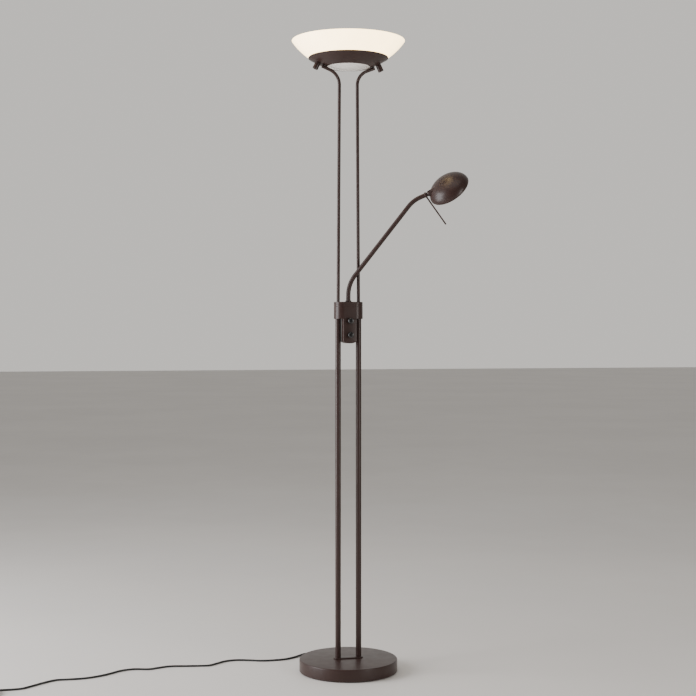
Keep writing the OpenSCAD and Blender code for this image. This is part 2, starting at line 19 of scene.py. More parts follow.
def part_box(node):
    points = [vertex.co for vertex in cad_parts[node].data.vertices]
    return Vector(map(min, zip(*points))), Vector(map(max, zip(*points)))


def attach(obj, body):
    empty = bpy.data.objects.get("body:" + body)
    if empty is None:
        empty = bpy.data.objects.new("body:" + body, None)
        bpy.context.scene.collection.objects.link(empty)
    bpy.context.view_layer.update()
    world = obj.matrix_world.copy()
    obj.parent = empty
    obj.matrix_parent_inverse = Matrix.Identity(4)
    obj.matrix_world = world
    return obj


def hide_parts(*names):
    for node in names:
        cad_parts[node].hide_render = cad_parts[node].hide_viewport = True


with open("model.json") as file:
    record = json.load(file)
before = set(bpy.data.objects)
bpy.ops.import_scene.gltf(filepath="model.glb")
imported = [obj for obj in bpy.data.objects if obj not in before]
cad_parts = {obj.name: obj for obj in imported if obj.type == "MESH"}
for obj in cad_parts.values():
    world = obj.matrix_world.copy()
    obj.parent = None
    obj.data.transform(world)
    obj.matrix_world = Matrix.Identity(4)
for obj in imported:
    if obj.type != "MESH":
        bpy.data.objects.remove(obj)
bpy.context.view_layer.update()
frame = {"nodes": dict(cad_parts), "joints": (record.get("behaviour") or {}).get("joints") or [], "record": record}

LOG = logging.getLogger("floor_lamp")
MM = 0.001
FULL_TURN = 2 * math.pi
Colour = tuple[float, float, float]
Point = tuple[float, ...]
Socket = bpy.types.NodeSocket
Piece = bpy.types.Object
Material = bpy.types.Material


class Body(Enum):
    """The bodies that pieces ride on."""

    STAND = "stand"
    UPPER_KNOB = "upper_dimmer_knob"
    LOWER_KNOB = "lower_dimmer_knob"
    ARM = "arm"
    NECK = "neck"
    HEAD = "reading_head"


class Slot(Enum):
    """The record's material slots."""

    PAINT = "bronze_paint"
    GLASS = "opal_glass"
    OPAL = "opal_plastic"
    KNOB = "knob_black"
    CORD = "cord_black"
    PLUG = "plug_black"
    TIE = "tie_white"
    FELT = "pad_felt"
    IRON = "cast_weight"
    STEEL = "plated_steel"
    PIN = "pin_metal"
    BRASS = "bush_brass"
    ALUMINIUM = "inner_aluminium"
    # Black anodised heat sink: partly its real colour, partly painted shade, so the reading shade's vents look
    # dark
    ANODISED = "black_anodised"
    DRIVER = "driver_case"
    INNER = "inner_black"
    BOARD = "led_board"
    SILICONE = "silicone"


class Side(Enum):
    """The left and right poles, by their sign along X."""

    LEFT = -1
    RIGHT = 1


# ---- Finishes ----


class Bench:
    """Lays out and joins the nodes of one material."""

    def __init__(self, name: str) -> None:
        """Starts a material.

        Args:
            name: The material's name.
        """
        self.material = bpy.data.materials.new(name)
        self.material.use_nodes = True
        self.tree = self.material.node_tree
        self.shader = self.tree.nodes["Principled BSDF"]
        self.where = self.node("ShaderNodeTexCoord").outputs["Object"]

    def node(self, kind: str, **settings: object) -> bpy.types.Node:
        """Adds a node.

        Args:
            kind: The node's type name.
            settings: Attributes to set on it.

        Returns:
            The new node.
        """
        made = self.tree.nodes.new(kind)
        for name, value in settings.items():
            setattr(made, name, value)
        return made

    def join(self, source: Socket, target: Socket) -> None:
        """Links one socket to another."""
        self.tree.links.new(source, target)

    def set(self, **values: object) -> None:
        """Sets the shader's own sockets, with underscores for the spaces in their names."""
        for name, value in values.items():
            self.shader.inputs[name.replace("_", " ")].default_value = value

    def stretched(self, scale: Point) -> Socket:
        """Returns the object coordinates scaled along X, Y and Z."""
        mapping = self.node("ShaderNodeMapping")
        mapping.inputs["Scale"].default_value = scale
        self.join(self.where, mapping.inputs["Vector"])
        return mapping.outputs["Vector"]

    def noise(self, size: float, detail: float = 3.0, where: Socket | None = None) -> Socket:
        """Adds a noise pattern.

        Args:
            size: Rough size of its blotches, in metres.
            detail: How many finer layers it has.
            where: Coordinates to read instead of the object's own.

        Returns:
            Its value, from 0 to 1.
        """
        made = self.node("ShaderNodeTexNoise")
        made.inputs["Scale"].default_value = 1 / size
        made.inputs["Detail"].default_value = detail
        self.join(where or self.where, made.inputs["Vector"])
        return made.outputs["Fac"]

    def cells(self, size: float) -> Socket:
        """Returns the distance to the nearest point of a cell pattern of that size in metres."""
        made = self.node("ShaderNodeTexVoronoi")
        made.inputs["Scale"].default_value = 1 / size
        self.join(self.where, made.inputs["Vector"])
        return made.outputs["Distance"]

    def spread(self, value: Socket, low: float, high: float,
               start: float = 0.3, stop: float = 0.7) -> Socket:
        """Maps a value to a new range, smoothly and clamped.

        Args:
            value: The value to map.
            low: What start becomes.
            high: What stop becomes.
            start: Lower end of the old range.
            stop: Upper end of the old range.

        Returns:
            The mapped value.
        """
        made = self.node("ShaderNodeMapRange", interpolation_type="SMOOTHSTEP")
        for name, number in (("From Min", start), ("From Max", stop), ("To Min", low), ("To Max", high)):
            made.inputs[name].default_value = number
        self.join(value, made.inputs["Value"])
        return made.outputs["Result"]

    def sum(self, kind: str, first: Socket, second: Socket | float) -> Socket:
        """Combines two values with a Math node of that kind and returns the result."""
        made = self.node("ShaderNodeMath", operation=kind)
        self.join(first, made.inputs[0])
        if isinstance(second, float):
            made.inputs[1].default_value = second
        else:
            self.join(second, made.inputs[1])
        return made.outputs[0]

    def blend(self, share: Socket, first: Colour | Socket, second: Colour) -> Socket:
        """Mixes two colours.

        Args:
            share: How much of the second colour shows.
            first: A colour or a colour socket.
            second: A colour.

        Returns:
            The mixed colour.
        """
        made = self.node("ShaderNodeMix", data_type="RGBA")
        self.join(share, made.inputs["Factor"])
        start, end = (s for s in made.inputs if s.type == "RGBA")
        if isinstance(first, tuple):
            start.default_value = (*first, 1)
        else:
            self.join(first, start)
        end.default_value = (*second, 1)
        return next(s for s in made.outputs if s.type == "RGBA")

    def edges(self, radius: float) -> Socket:
        """Returns a value that is 1 on sharp edges within that radius and 0 on flat places."""
        soft = self.node("ShaderNodeBevel", samples=4)
        soft.inputs["Radius"].default_value = radius
        true = self.node("ShaderNodeNewGeometry")
        dot = self.node("ShaderNodeVectorMath", operation="DOT_PRODUCT")
        self.join(soft.outputs["Normal"], dot.inputs[0])
        self.join(true.outputs["Normal"], dot.inputs[1])
        return self.spread(dot.outputs["Value"], 1.0, 0.0, 0.90, 0.995)

    def bump(self, *layers: tuple[Socket, float]) -> None:
        """Raises the surface by patterns.

        Args:
            layers: Each pattern with its height in metres.
        """
        normal = None
        for height, distance in layers:
            made = self.node("ShaderNodeBump")
            made.inputs["Distance"].default_value = distance
            self.join(height, made.inputs["Height"])
            if normal is not None:
                self.join(normal, made.inputs["Normal"])
            normal = made.outputs["Normal"]
        self.join(normal, self.shader.inputs["Normal"])

    def colour(self, share: Socket, first: Colour | Socket, second: Colour) -> None:
        """Gives the shader a base colour that blends two."""
        self.join(self.blend(share, first, second), self.shader.inputs["Base Color"])

    def rough(self, value: Socket, low: float, high: float) -> None:
        """Gives the shader a roughness between two numbers."""
        self.join(self.spread(value, low, high), self.shader.inputs["Roughness"])


class Finish(Protocol):
    """Anything that can make its own material."""

    def make(self, name: str) -> Material:
        """Makes the material."""


@dataclass(frozen=True)
class PowderCoat:
    """Matt powder coat with a fine texture, faint mottling and lighter worn edges."""

    dark: Colour
    light: Colour
    worn: Colour
    grain: float = 0.0011
    grain_height: float = 0.000016
    speck_share: float = 0.09

    def make(self, name: str) -> Material:
        """Makes the coat with its grain, mottling and edge wear."""
        bench = Bench(name)
        bench.set(Metallic=0.0, Specular_IOR_Level=0.30, Coat_Weight=0.09, Coat_Roughness=0.20)
        body = bench.blend(bench.spread(bench.noise(0.07), 0.0, 1.0), self.dark, self.light)
        specks = bench.spread(bench.noise(self.grain, 2.0), 0.0, self.speck_share, 0.50, 0.72)
        speck = bench.blend(specks, body, self.worn)
        wear = bench.sum("MULTIPLY", bench.edges(0.0007), bench.spread(bench.noise(0.012), 0.12, 0.6))
        bench.colour(wear, speck, self.worn)
        bench.rough(bench.noise(0.03), 0.35, 0.40)
        bench.bump((bench.noise(self.grain, 3.0), self.grain_height), (bench.noise(0.008, 1.0), 0.00002))
        return bench.material


@dataclass(frozen=True)
class OpalGlass:
    """Satin opal glass lit from inside; the middle of its base lies in the light module's shade."""

    body: Colour = (0.90, 0.87, 0.82)
    glow: Colour = (1.0, 0.72, 0.34)
    strength: float = 7.0
    shade_radius: float = 0.060
    lit_radius: float = 0.100
    shaded: Colour = (0.017, 0.015, 0.013)

    def make(self, name: str) -> Material:
        """Makes the glass with a cloudy body and a glow that fades towards its base."""
        bench = Bench(name)
        bench.set(Specular_IOR_Level=0.5, Coat_Weight=0.5, Coat_Roughness=0.08,
                  Emission_Strength=self.strength)
        cloud = bench.noise(0.035, 4.0)
        bench.colour(bench.spread(cloud, 0.0, 0.35), self.body, (0.98, 0.96, 0.93))
        length = bench.node("ShaderNodeVectorMath", operation="LENGTH")
        bench.join(bench.stretched((1.0, 1.0, 0.0)), length.inputs[0])
        lit = bench.spread(length.outputs["Value"], 0.0, 1.0, self.shade_radius, self.lit_radius)
        ragged = bench.sum("MULTIPLY", lit, bench.spread(cloud, 0.95, 1.0))
        bench.join(bench.blend(ragged, self.shaded, self.glow), bench.shader.inputs["Emission Color"])
        bench.rough(bench.noise(0.02), 0.28, 0.38)
        bench.bump((bench.noise(0.0016, 2.0), 0.00001), (bench.noise(0.03, 1.0), 0.00015))
        return bench.material


@dataclass(frozen=True)
class LitDiffuser:
    """Frosted diffuser sheet with light behind it."""

    glow: Colour = (1.0, 0.92, 0.78)
    strength: float = 2.0

    def make(self, name: str) -> Material:
        """Makes the frosted sheet with a faint prism grain."""
        bench = Bench(name)
        bench.set(Specular_IOR_Level=0.4, Emission_Strength=self.strength)
        bench.colour(bench.spread(bench.noise(0.01), 0.0, 0.5), (0.93, 0.92, 0.88), (0.86, 0.84, 0.79))
        patch = bench.spread(bench.noise(0.02, 1.0), 0.0, 0.25)
        bench.join(bench.blend(patch, self.glow, (1.0, 0.97, 0.9)), bench.shader.inputs["Emission Color"])
        bench.rough(bench.noise(0.004), 0.45, 0.6)
        bench.bump((bench.cells(0.0012), 0.00006),)
        return bench.material


@dataclass(frozen=True)
class Plastic:
    """Moulded plastic with a fine mould grain and faint scuffs."""

    dark: Colour
    light: Colour
    smooth: float
    rough: float
    gloss: float = 0.0
    grain: float = 0.0006
    grain_height: float = 0.00002

    def make(self, name: str) -> Material:
        """Makes the plastic."""
        bench = Bench(name)
        bench.set(Specular_IOR_Level=0.5, Coat_Weight=self.gloss, Coat_Roughness=0.05)
        scuff = bench.noise(0.004, 5.0, bench.stretched((1.0, 3.0, 1.0)))
        base = bench.blend(bench.spread(bench.noise(0.02), 0.0, 0.7), self.dark, self.light)
        marks = bench.sum("MULTIPLY", bench.edges(0.0005), bench.spread(scuff, 0.1, 0.5))
        worn = tuple(min(1.0, 1.6 * c + 0.03) for c in self.light)
        bench.colour(marks, base, worn)
        bench.rough(scuff, self.smooth, self.rough)
        bench.bump((bench.noise(self.grain, 2.0), self.grain_height),)
        return bench.material


@dataclass(frozen=True)
class Metal:
    """Bare or plated metal with fine brushing, stains and brighter edges."""

    dark: Colour
    light: Colour
    smooth: float
    rough: float
    brushed: Point = (1.0, 1.0, 14.0)
    grain_height: float = 0.000012

    def make(self, name: str) -> Material:
        """Makes the metal."""
        bench = Bench(name)
        bench.set(Metallic=1.0)
        lines = bench.noise(0.004, 4.0, bench.stretched(self.brushed))
        stain = bench.blend(bench.spread(bench.noise(0.015, 4.0), 0.0, 1.0), self.dark, self.light)
        bright = tuple(min(1.0, 1.15 * c + 0.05) for c in self.light)
        bench.colour(bench.sum("MULTIPLY", bench.edges(0.0004), 0.7), stain, bright)
        bench.rough(lines, self.smooth, self.rough)
        bench.bump((lines, self.grain_height),)
        return bench.material


@dataclass(frozen=True)
class CastIron:
    """Rough sand-cast iron, pitted and patched with rust."""

    def make(self, name: str) -> Material:
        """Makes the casting's surface."""
        bench = Bench(name)
        bench.set(Metallic=0.75)
        base = bench.blend(bench.spread(bench.noise(0.01, 5.0), 0.0, 1.0), (0.07, 0.07, 0.072),
                           (0.17, 0.165, 0.16))
        rust = bench.spread(bench.noise(0.025, 6.0), 0.0, 0.8, 0.55, 0.72)
        bench.colour(rust, base, (0.16, 0.065, 0.03))
        bench.rough(bench.noise(0.006), 0.6, 0.85)
        bench.bump((bench.noise(0.0018, 4.0), 0.0003), (bench.cells(0.006), 0.0002))
        return bench.material


@dataclass(frozen=True)
class Felt:
    """Dense pressed felt with short fibres and bits of lint."""

    def make(self, name: str) -> Material:
        """Makes the felt."""
        bench = Bench(name)
        bench.set(Sheen_Weight=0.35, Sheen_Roughness=0.6, Specular_IOR_Level=0.15)
        fibre = bench.noise(0.0012, 6.0, bench.stretched((1.0, 2.5, 1.0)))
        base = bench.blend(bench.spread(fibre, 0.0, 1.0), (0.018, 0.018, 0.020), (0.055, 0.052, 0.052))
        lint = bench.spread(bench.noise(0.0022, 3.0), 0.0, 0.5, 0.68, 0.75)
        bench.colour(lint, base, (0.22, 0.21, 0.20))
        bench.rough(fibre, 0.9, 1.0)
        bench.bump((fibre, 0.0004),)
        return bench.material


@dataclass(frozen=True)
class CircuitBoard:
    """White lacquered board with faint tracks and warm chip phosphor blotches."""

    def make(self, name: str) -> Material:
        """Makes the board."""
        bench = Bench(name)
        bench.set(Specular_IOR_Level=0.5, Emission_Color=(1.0, 0.86, 0.6, 1.0), Emission_Strength=0.35)
        track = bench.spread(bench.cells(0.007), 0.0, 0.35, 0.42, 0.5)
        base = bench.blend(track, (0.86, 0.86, 0.82), (0.62, 0.64, 0.58))
        warm = bench.spread(bench.noise(0.012, 1.0), 0.0, 0.6, 0.52, 0.62)
        bench.colour(warm, base, (0.85, 0.70, 0.28))
        bench.rough(bench.noise(0.003), 0.3, 0.45)
        bench.bump((track, 0.00005),)
        return bench.material


FINISHES: dict[Slot, Finish] = {
    Slot.PAINT: PowderCoat((0.032, 0.0158, 0.0132), (0.036, 0.0182, 0.0154), (0.085, 0.053, 0.046)),
    Slot.GLASS: OpalGlass(),
    Slot.OPAL: LitDiffuser(),
    Slot.KNOB: Plastic((0.006, 0.006, 0.007), (0.011, 0.010, 0.011), 0.06, 0.14, gloss=0.35,
                       grain_height=0.000004),
    Slot.CORD: Plastic((0.010, 0.010, 0.011), (0.020, 0.019, 0.019), 0.42, 0.58, grain=0.0009),
    Slot.PLUG: Plastic((0.012, 0.012, 0.013), (0.024, 0.023, 0.023), 0.40, 0.55, grain=0.0005),
    Slot.TIE: Plastic((0.78, 0.78, 0.75), (0.86, 0.86, 0.84), 0.35, 0.5),
    Slot.FELT: Felt(),
    Slot.IRON: CastIron(),
    Slot.STEEL: Metal((0.42, 0.42, 0.44), (0.62, 0.62, 0.63), 0.22, 0.40),
    Slot.PIN: Metal((0.60, 0.59, 0.55), (0.80, 0.79, 0.75), 0.10, 0.22, brushed=(8.0, 1.0, 8.0)),
    Slot.BRASS: Metal((0.50, 0.33, 0.12), (0.72, 0.53, 0.22), 0.18, 0.34),
    Slot.ALUMINIUM: Metal((0.62, 0.63, 0.64), (0.80, 0.81, 0.82), 0.25, 0.42, brushed=(12.0, 1.0, 1.0)),
    # Heat sink kept this dark partly as painted shade behind the reading shade's vents, partly as black anodising
    Slot.ANODISED: Metal((0.012, 0.012, 0.013), (0.022, 0.022, 0.024), 0.35, 0.50),
    Slot.DRIVER: Plastic((0.72, 0.72, 0.70), (0.82, 0.82, 0.80), 0.40, 0.55),
    Slot.INNER: Plastic((0.014, 0.014, 0.015), (0.026, 0.026, 0.027), 0.38, 0.52),
    Slot.BOARD: CircuitBoard(),
    Slot.SILICONE: Plastic((0.70, 0.70, 0.68), (0.82, 0.82, 0.80), 0.45, 0.6),
}
MATERIALS = {slot: finish.make(slot.value) for slot, finish in FINISHES.items()}


# ---- Shaping ----


def arc(centre: Point, radii: Point, start: float, stop: float, steps: int) -> list[Point]:
    """Points along part of an ellipse in the X-Z plane.

    Args:
        centre: Its centre, x and z.
        radii: Its radii along x and z.
        start: First angle in degrees, from +X towards +Z.
        stop: Last angle in degrees.
        steps: How many stretches it has.

    Returns:
        The points, x and z.
    """
    turns = [math.radians(start + (stop - start) * k / steps) for k in range(steps + 1)]
    return [(centre[0] + radii[0] * math.cos(a), centre[1] + radii[1] * math.sin(a)) for a in turns]


def shift(*by: float) -> Matrix:
    """Returns a move along X, Y and Z."""
    return Matrix.Translation(by)


def turn(degrees: float, axis: str) -> Matrix:
    """Returns a turn about an axis."""
    return Matrix.Rotation(math.radians(degrees), 4, axis)


def mm(*points: Point) -> list[Point]:
    """Returns points given in millimetres in metres."""
    return [tuple(number / 1000 for number in point) for point in points]


def in_metres(height: float, points: Sequence[Point]) -> tuple[Point, ...]:
    """Returns points given in millimetres in metres, with that height where they have none."""
    return tuple(mm(*(point if len(point) > 2 else (*point, height) for point in points)))


def mirrored(side: Side) -> Matrix:
    """Returns the half turn about Z that puts a right-hand shape on that side."""
    return turn(0 if side is Side.RIGHT else 180, "Z")


def verts_in(items: Sequence) -> list:
    """Returns the vertices among an operator's results."""
    return [item for item in items if isinstance(item, bmesh.types.BMVert)]


def edges_in(items: Sequence) -> list:
    """Returns the edges among an operator's results."""
    return [item for item in items if isinstance(item, bmesh.types.BMEdge)]


def show(name: str, data: bpy.types.ID) -> Piece:
    """Returns a new object of the scene with that mesh, curve, light or camera."""
    made = bpy.data.objects.new(name, data)
    bpy.context.scene.collection.objects.link(made)
    return made


class Shaper:
    """One piece's mesh while operators shape it."""

    def __init__(self) -> None:
        """Starts an empty mesh."""
        self.bm = bmesh.new()

    def _since(self, before: set) -> list:
        """Returns the vertices made since before."""
        return [v for v in self.bm.verts if v not in before]

    def _settle(self, before: set, at: Matrix) -> list:
        """Moves what was made since before into place and returns its vertices."""
        made = self._since(before)
        bmesh.ops.transform(self.bm, matrix=at, verts=made)
        return made

    def _merge(self, before: set, reach: float = 1e-6) -> None:
        """Merges doubles among what was made since before."""
        bmesh.ops.remove_doubles(self.bm, verts=self._since(before), dist=reach)

    def _round(self, vertices: list, offset: float, segments: int = 5) -> None:
        """Rounds the corners of an outline."""
        bmesh.ops.bevel(self.bm, geom=vertices, offset=offset, affect="VERTICES", segments=segments,
                        profile=0.5, material=-1)

    def _round_marked(self, corners: list, outline: Sequence[Point]) -> None:
        """Rounds each corner whose point carries a third number, by that number."""
        for vertex, point in zip(corners, outline):
            if len(point) > 2:
                self._round([vertex], point[2])

    def lathe(self, outline: Sequence[Point], steps: int = 96, at: Matrix = Matrix.Identity(4),
              closed: bool = False) -> list:
        """Spins an outline about Z.

        Args:
            outline: Points in the X-Z half plane; a third number rounds that corner.
            steps: How many facets go round.
            at: Where the spun shape goes.
            closed: Whether the outline's end joins its start, as on a ring.

        Returns:
            The new vertices.
        """
        before = set(self.bm.verts)
        line = [self.bm.verts.new((p[0], 0, p[1])) for p in outline]
        for first, second in zip(line, line[1:] + line[:1] if closed else line[1:]):
            self.bm.edges.new((first, second))
        self._round_marked(line, outline)
        drawn = self._since(before)
        edges = {e for v in drawn for e in v.link_edges}
        bmesh.ops.spin(self.bm, geom=drawn + list(edges), cent=(0, 0, 0), axis=(0, 0, 1), dvec=(0, 0, 0),
                       angle=FULL_TURN, steps=steps, use_merge=True, use_duplicate=False)
        self._merge(before)
        return self._settle(before, at)

    def slab(self, size: Point, corner: float, low: float, high: float, edge: float = 0.0,
             at: Matrix = Matrix.Identity(4), segments: int = 14) -> list:
        """Makes a plate with round corners.

        Args:
            size: Its length along X and its width along Y.
            corner: Radius of its four corners; half the width makes a stadium.
            low: Height of its underside.
            high: Height of its top.
            edge: Rounding of its top and bottom edges.
            at: Where it goes.
            segments: Facets in each corner.

        Returns:
            The new vertices.
        """
        before = set(self.bm.verts)
        old = set(self.bm.faces)
        sheet = bmesh.ops.create_grid(self.bm, x_segments=1, y_segments=1, size=0.5)["verts"]
        bmesh.ops.scale(self.bm, vec=(size[0], size[1], 1), verts=sheet)
        self._round(sheet, corner, segments)
        self._merge(before)
        self._thicken([f for f in self.bm.faces if f not in old], Vector((0, 0, high - low)), edge)
        return self._settle(before, at @ shift(0, 0, low))

    def _thicken(self, faces: list, lift: Vector, edge: float) -> None:
        """Extrudes flat faces into a solid and rounds the rims at both ends."""
        top = bmesh.ops.extrude_face_region(self.bm, geom=faces, use_keep_orig=True)["geom"]
        bmesh.ops.translate(self.bm, vec=lift, verts=verts_in(top))
        caps = faces + [g for g in top if isinstance(g, bmesh.types.BMFace)]
        if edge:
            rims = list({e for f in caps for e in f.edges})
            bmesh.ops.bevel(self.bm, geom=rims, offset=edge, affect="EDGES", segments=4, profile=0.5,
                            material=-1)

    def panel(self, outline: Sequence[Point], depth: float, edge: float = 0.0,
              at: Matrix = Matrix.Identity(4)) -> list:
        """Makes a solid from an outline in the X-Z plane.

        Args:
            outline: Its corners, x and z; a third number rounds that corner.
            depth: Its thickness, along +Y.
            edge: Rounding of its front and back edges.
            at: Where it goes.

        Returns:
            The new vertices.
        """
        before = set(self.bm.verts)
        old = set(self.bm.faces)
        corners = [self.bm.verts.new((p[0], 0, p[1])) for p in outline]
        self.bm.faces.new(corners)
        self._round_marked(corners, outline)
        self._thicken([f for f in self.bm.faces if f not in old], Vector((0, depth, 0)), edge)
        return self._settle(before, at)

    def pipe(self, steps: Sequence[Point], radius: float, at: Matrix, sides: int = 40) -> Matrix:
        """Draws a capped round bar along straights and bends; it starts up +Z and bends to +X.

        Args:
            steps: Each straight's length, then its bend's radius and its angle in degrees.
            radius: The bar's radius.
            at: Its start.
            sides: Facets around it.

        Returns:
            The frame at its far end.
        """
        before = set(self.bm.verts)
        ring = bmesh.ops.create_circle(self.bm, cap_ends=True, radius=radius, segments=sides,
                                       matrix=at)["verts"]
        edges = list({e for v in ring for e in v.link_edges})
        for length, bend, angle in steps:
            grown = bmesh.ops.extrude_edge_only(self.bm, edges=edges)["geom"]
            ring, edges = verts_in(grown), edges_in(grown)
            bmesh.ops.translate(self.bm, vec=(at.to_3x3() @ Vector((0, 0, length))), verts=ring)
            at = at @ shift(0, 0, length)
            if angle:
                centre = at @ Vector((bend, 0, 0))
                axis = at.to_3x3() @ Vector((0, 1, 0))
                turned = bmesh.ops.spin(self.bm, geom=ring + edges, cent=centre, axis=axis, dvec=(0, 0, 0),
                                        angle=math.radians(angle), steps=max(6, round(angle / 3)),
                                        use_merge=False, use_duplicate=False)["geom_last"]
                ring, edges = verts_in(turned), edges_in(turned)
                at = at @ shift(bend, 0, 0) @ turn(angle, "Y") @ shift(-bend, 0, 0)
        bmesh.ops.edgeloop_fill(self.bm, edges=edges)
        self._merge(before, 1e-7)
        return at

    def piece(self, name: str, sharp: float = 32.0) -> Piece:
        """Turns the mesh into an object.

        Args:
            name: The object's name.
            sharp: Angle in degrees past which an edge stays crisp.

        Returns:
            The object, at the origin.
        """
        bmesh.ops.recalc_face_normals(self.bm, faces=self.bm.faces)
        mesh = bpy.data.meshes.new(name)
        self.bm.to_mesh(mesh)
        self.bm.free()
        mesh.shade_smooth()
        mesh.set_sharp_from_angle(angle=math.radians(sharp))
        return show(name, mesh)

    def placed(self, name: str, node: str, body: Body = Body.STAND, slot: Slot = Slot.PAINT) -> Piece:
        """Turns the mesh into an object that stands for a CAD node, dressed and on its body."""
        return place(self.piece(name), body, slot, node)


def carve(piece: Piece, tool: Piece, operation: str, sharp: float = 32.0) -> None:
    """Cuts a tool shape out of a piece, or joins it on, and removes the tool.

    Args:
        piece: The piece that stays.
        tool: The shape that is used up.
        operation: DIFFERENCE or UNION.
        sharp: Angle in degrees past which an edge stays crisp.
    """
    cut = piece.modifiers.new("carve", "BOOLEAN")
    cut.object, cut.operation, cut.solver = tool, operation, "EXACT"
    graph = bpy.context.evaluated_depsgraph_get()
    mesh = bpy.data.meshes.new_from_object(piece.evaluated_get(graph))
    piece.modifiers.clear()
    piece.data = mesh
    mesh.shade_smooth()
    mesh.set_sharp_from_angle(angle=math.radians(sharp))
    bpy.data.objects.remove(tool)


def place(piece: Piece, body: Body, slot: Slot, *nodes: str) -> Piece:
    """Dresses a finished piece, hangs it on its body and hides the solids that it stands for.

    Args:
        piece: The piece, already in place.
        body: The body that it rides on.
        slot: The material slot of its finish.
        nodes: The CAD nodes that it stands for.

    Returns:
        The same piece.
    """
    piece.data.materials.clear()
    piece.data.materials.append(MATERIALS[slot])
    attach(piece, body.value)
    if nodes:
        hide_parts(*nodes)
    LOG.info("%s: rides on %s, finished as %s", piece.name, body.value, slot.value)
    return piece


def joint_frame(name: str) -> tuple[Vector, Vector]:
    """Returns a joint's place and its axis in the frame."""
    joint = next(j for j in frame["joints"] if j["name"] == name)
    return Vector(joint["pos_m"]), Vector(joint["axis"]).normalized()


# ---- Base ----


@dataclass
class Base:
    """Round weighted base: its cover and the oblong foot plate that the poles stand on."""

    edge: float = 3 * MM
    sheet: float = 1.5 * MM
    hem: float = 0.6 * MM
    plate_edge: float = 0.7 * MM

    def cover(self) -> Piece:
        """Spins the pressed cover from its outer and inner outline."""
        low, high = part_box("base_cover")
        r, top, bottom, t = high.x, high.z, low.z, self.sheet
        shape = Shaper()
        shape.lathe([(0, top), (r, top, self.edge), (r, bottom, self.hem), (r - t, bottom, self.hem),
                     (r - t, top - t, self.edge - t), (0, top - t)], steps=160)
        return shape.placed("pressed_base_cover", "base_cover")

    def foot_plate(self) -> Piece:
        """Makes the foot plate, with softened edges."""
        low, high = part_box("foot_plate")
        shape = Shaper()
        size = high - low
        shape.slab((size.x, size.y), size.y / 2, low.z, high.z, self.plate_edge)
        return shape.placed("softened_foot_plate", "foot_plate")

    def build(self) -> None:
        """Builds the base's pieces."""
        self.cover()
        self.foot_plate()


# ---- Poles ----


@dataclass
class Poles:
    """The two lower tubes and the two thinner upper tubes, which bend out to the bowl."""

    foot_edge: float = 0.4 * MM
    wall: float = 1.2 * MM
    lean: float = 0.32
    slope: float = 22.0
    bend: float = 45 * MM
    upper_foot: float = 1012 * MM
    straight: float = 663 * MM
    last: float = 24.5 * MM
    radius: float = 4.75 * MM

    def lower(self, side: Side) -> Piece:
        """Makes one lower tube as a drawn pipe with a wall."""
        name = f"lower_tube_{side.name.lower()}"
        low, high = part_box(name)
        r = (high.y - low.y) / 2
        shape = Shaper()
        shape.lathe([(r - self.wall, low.z), (r, low.z, self.foot_edge), (r, high.z, self.foot_edge),
                     (r - self.wall, high.z)], steps=64, at=shift((low.x + high.x) / 2, 0, 0),
                    closed=True)
        return shape.placed(f"drawn_{name}", name)

    def upper(self, side: Side) -> Piece:
        """Makes one upper tube, which leans in a little and bends out to its post."""
        name = f"upper_tube_{side.name.lower()}"
        low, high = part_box("lower_tube_right")
        start = (mirrored(side) @ shift((low.x + high.x) / 2, 0, self.upper_foot)
                 @ turn(-self.lean, "Y"))
        shape = Shaper()
        bend = (self.straight, self.bend, 90 - self.slope + self.lean)
        shape.pipe([bend, (self.last, 0, 0)], self.radius, start)
        return shape.placed(f"bent_{name}", name)

    def build(self) -> None:
        """Builds all four tubes."""
        for side in Side:
            self.lower(side)
            self.upper(side)


# ---- Middle block ----


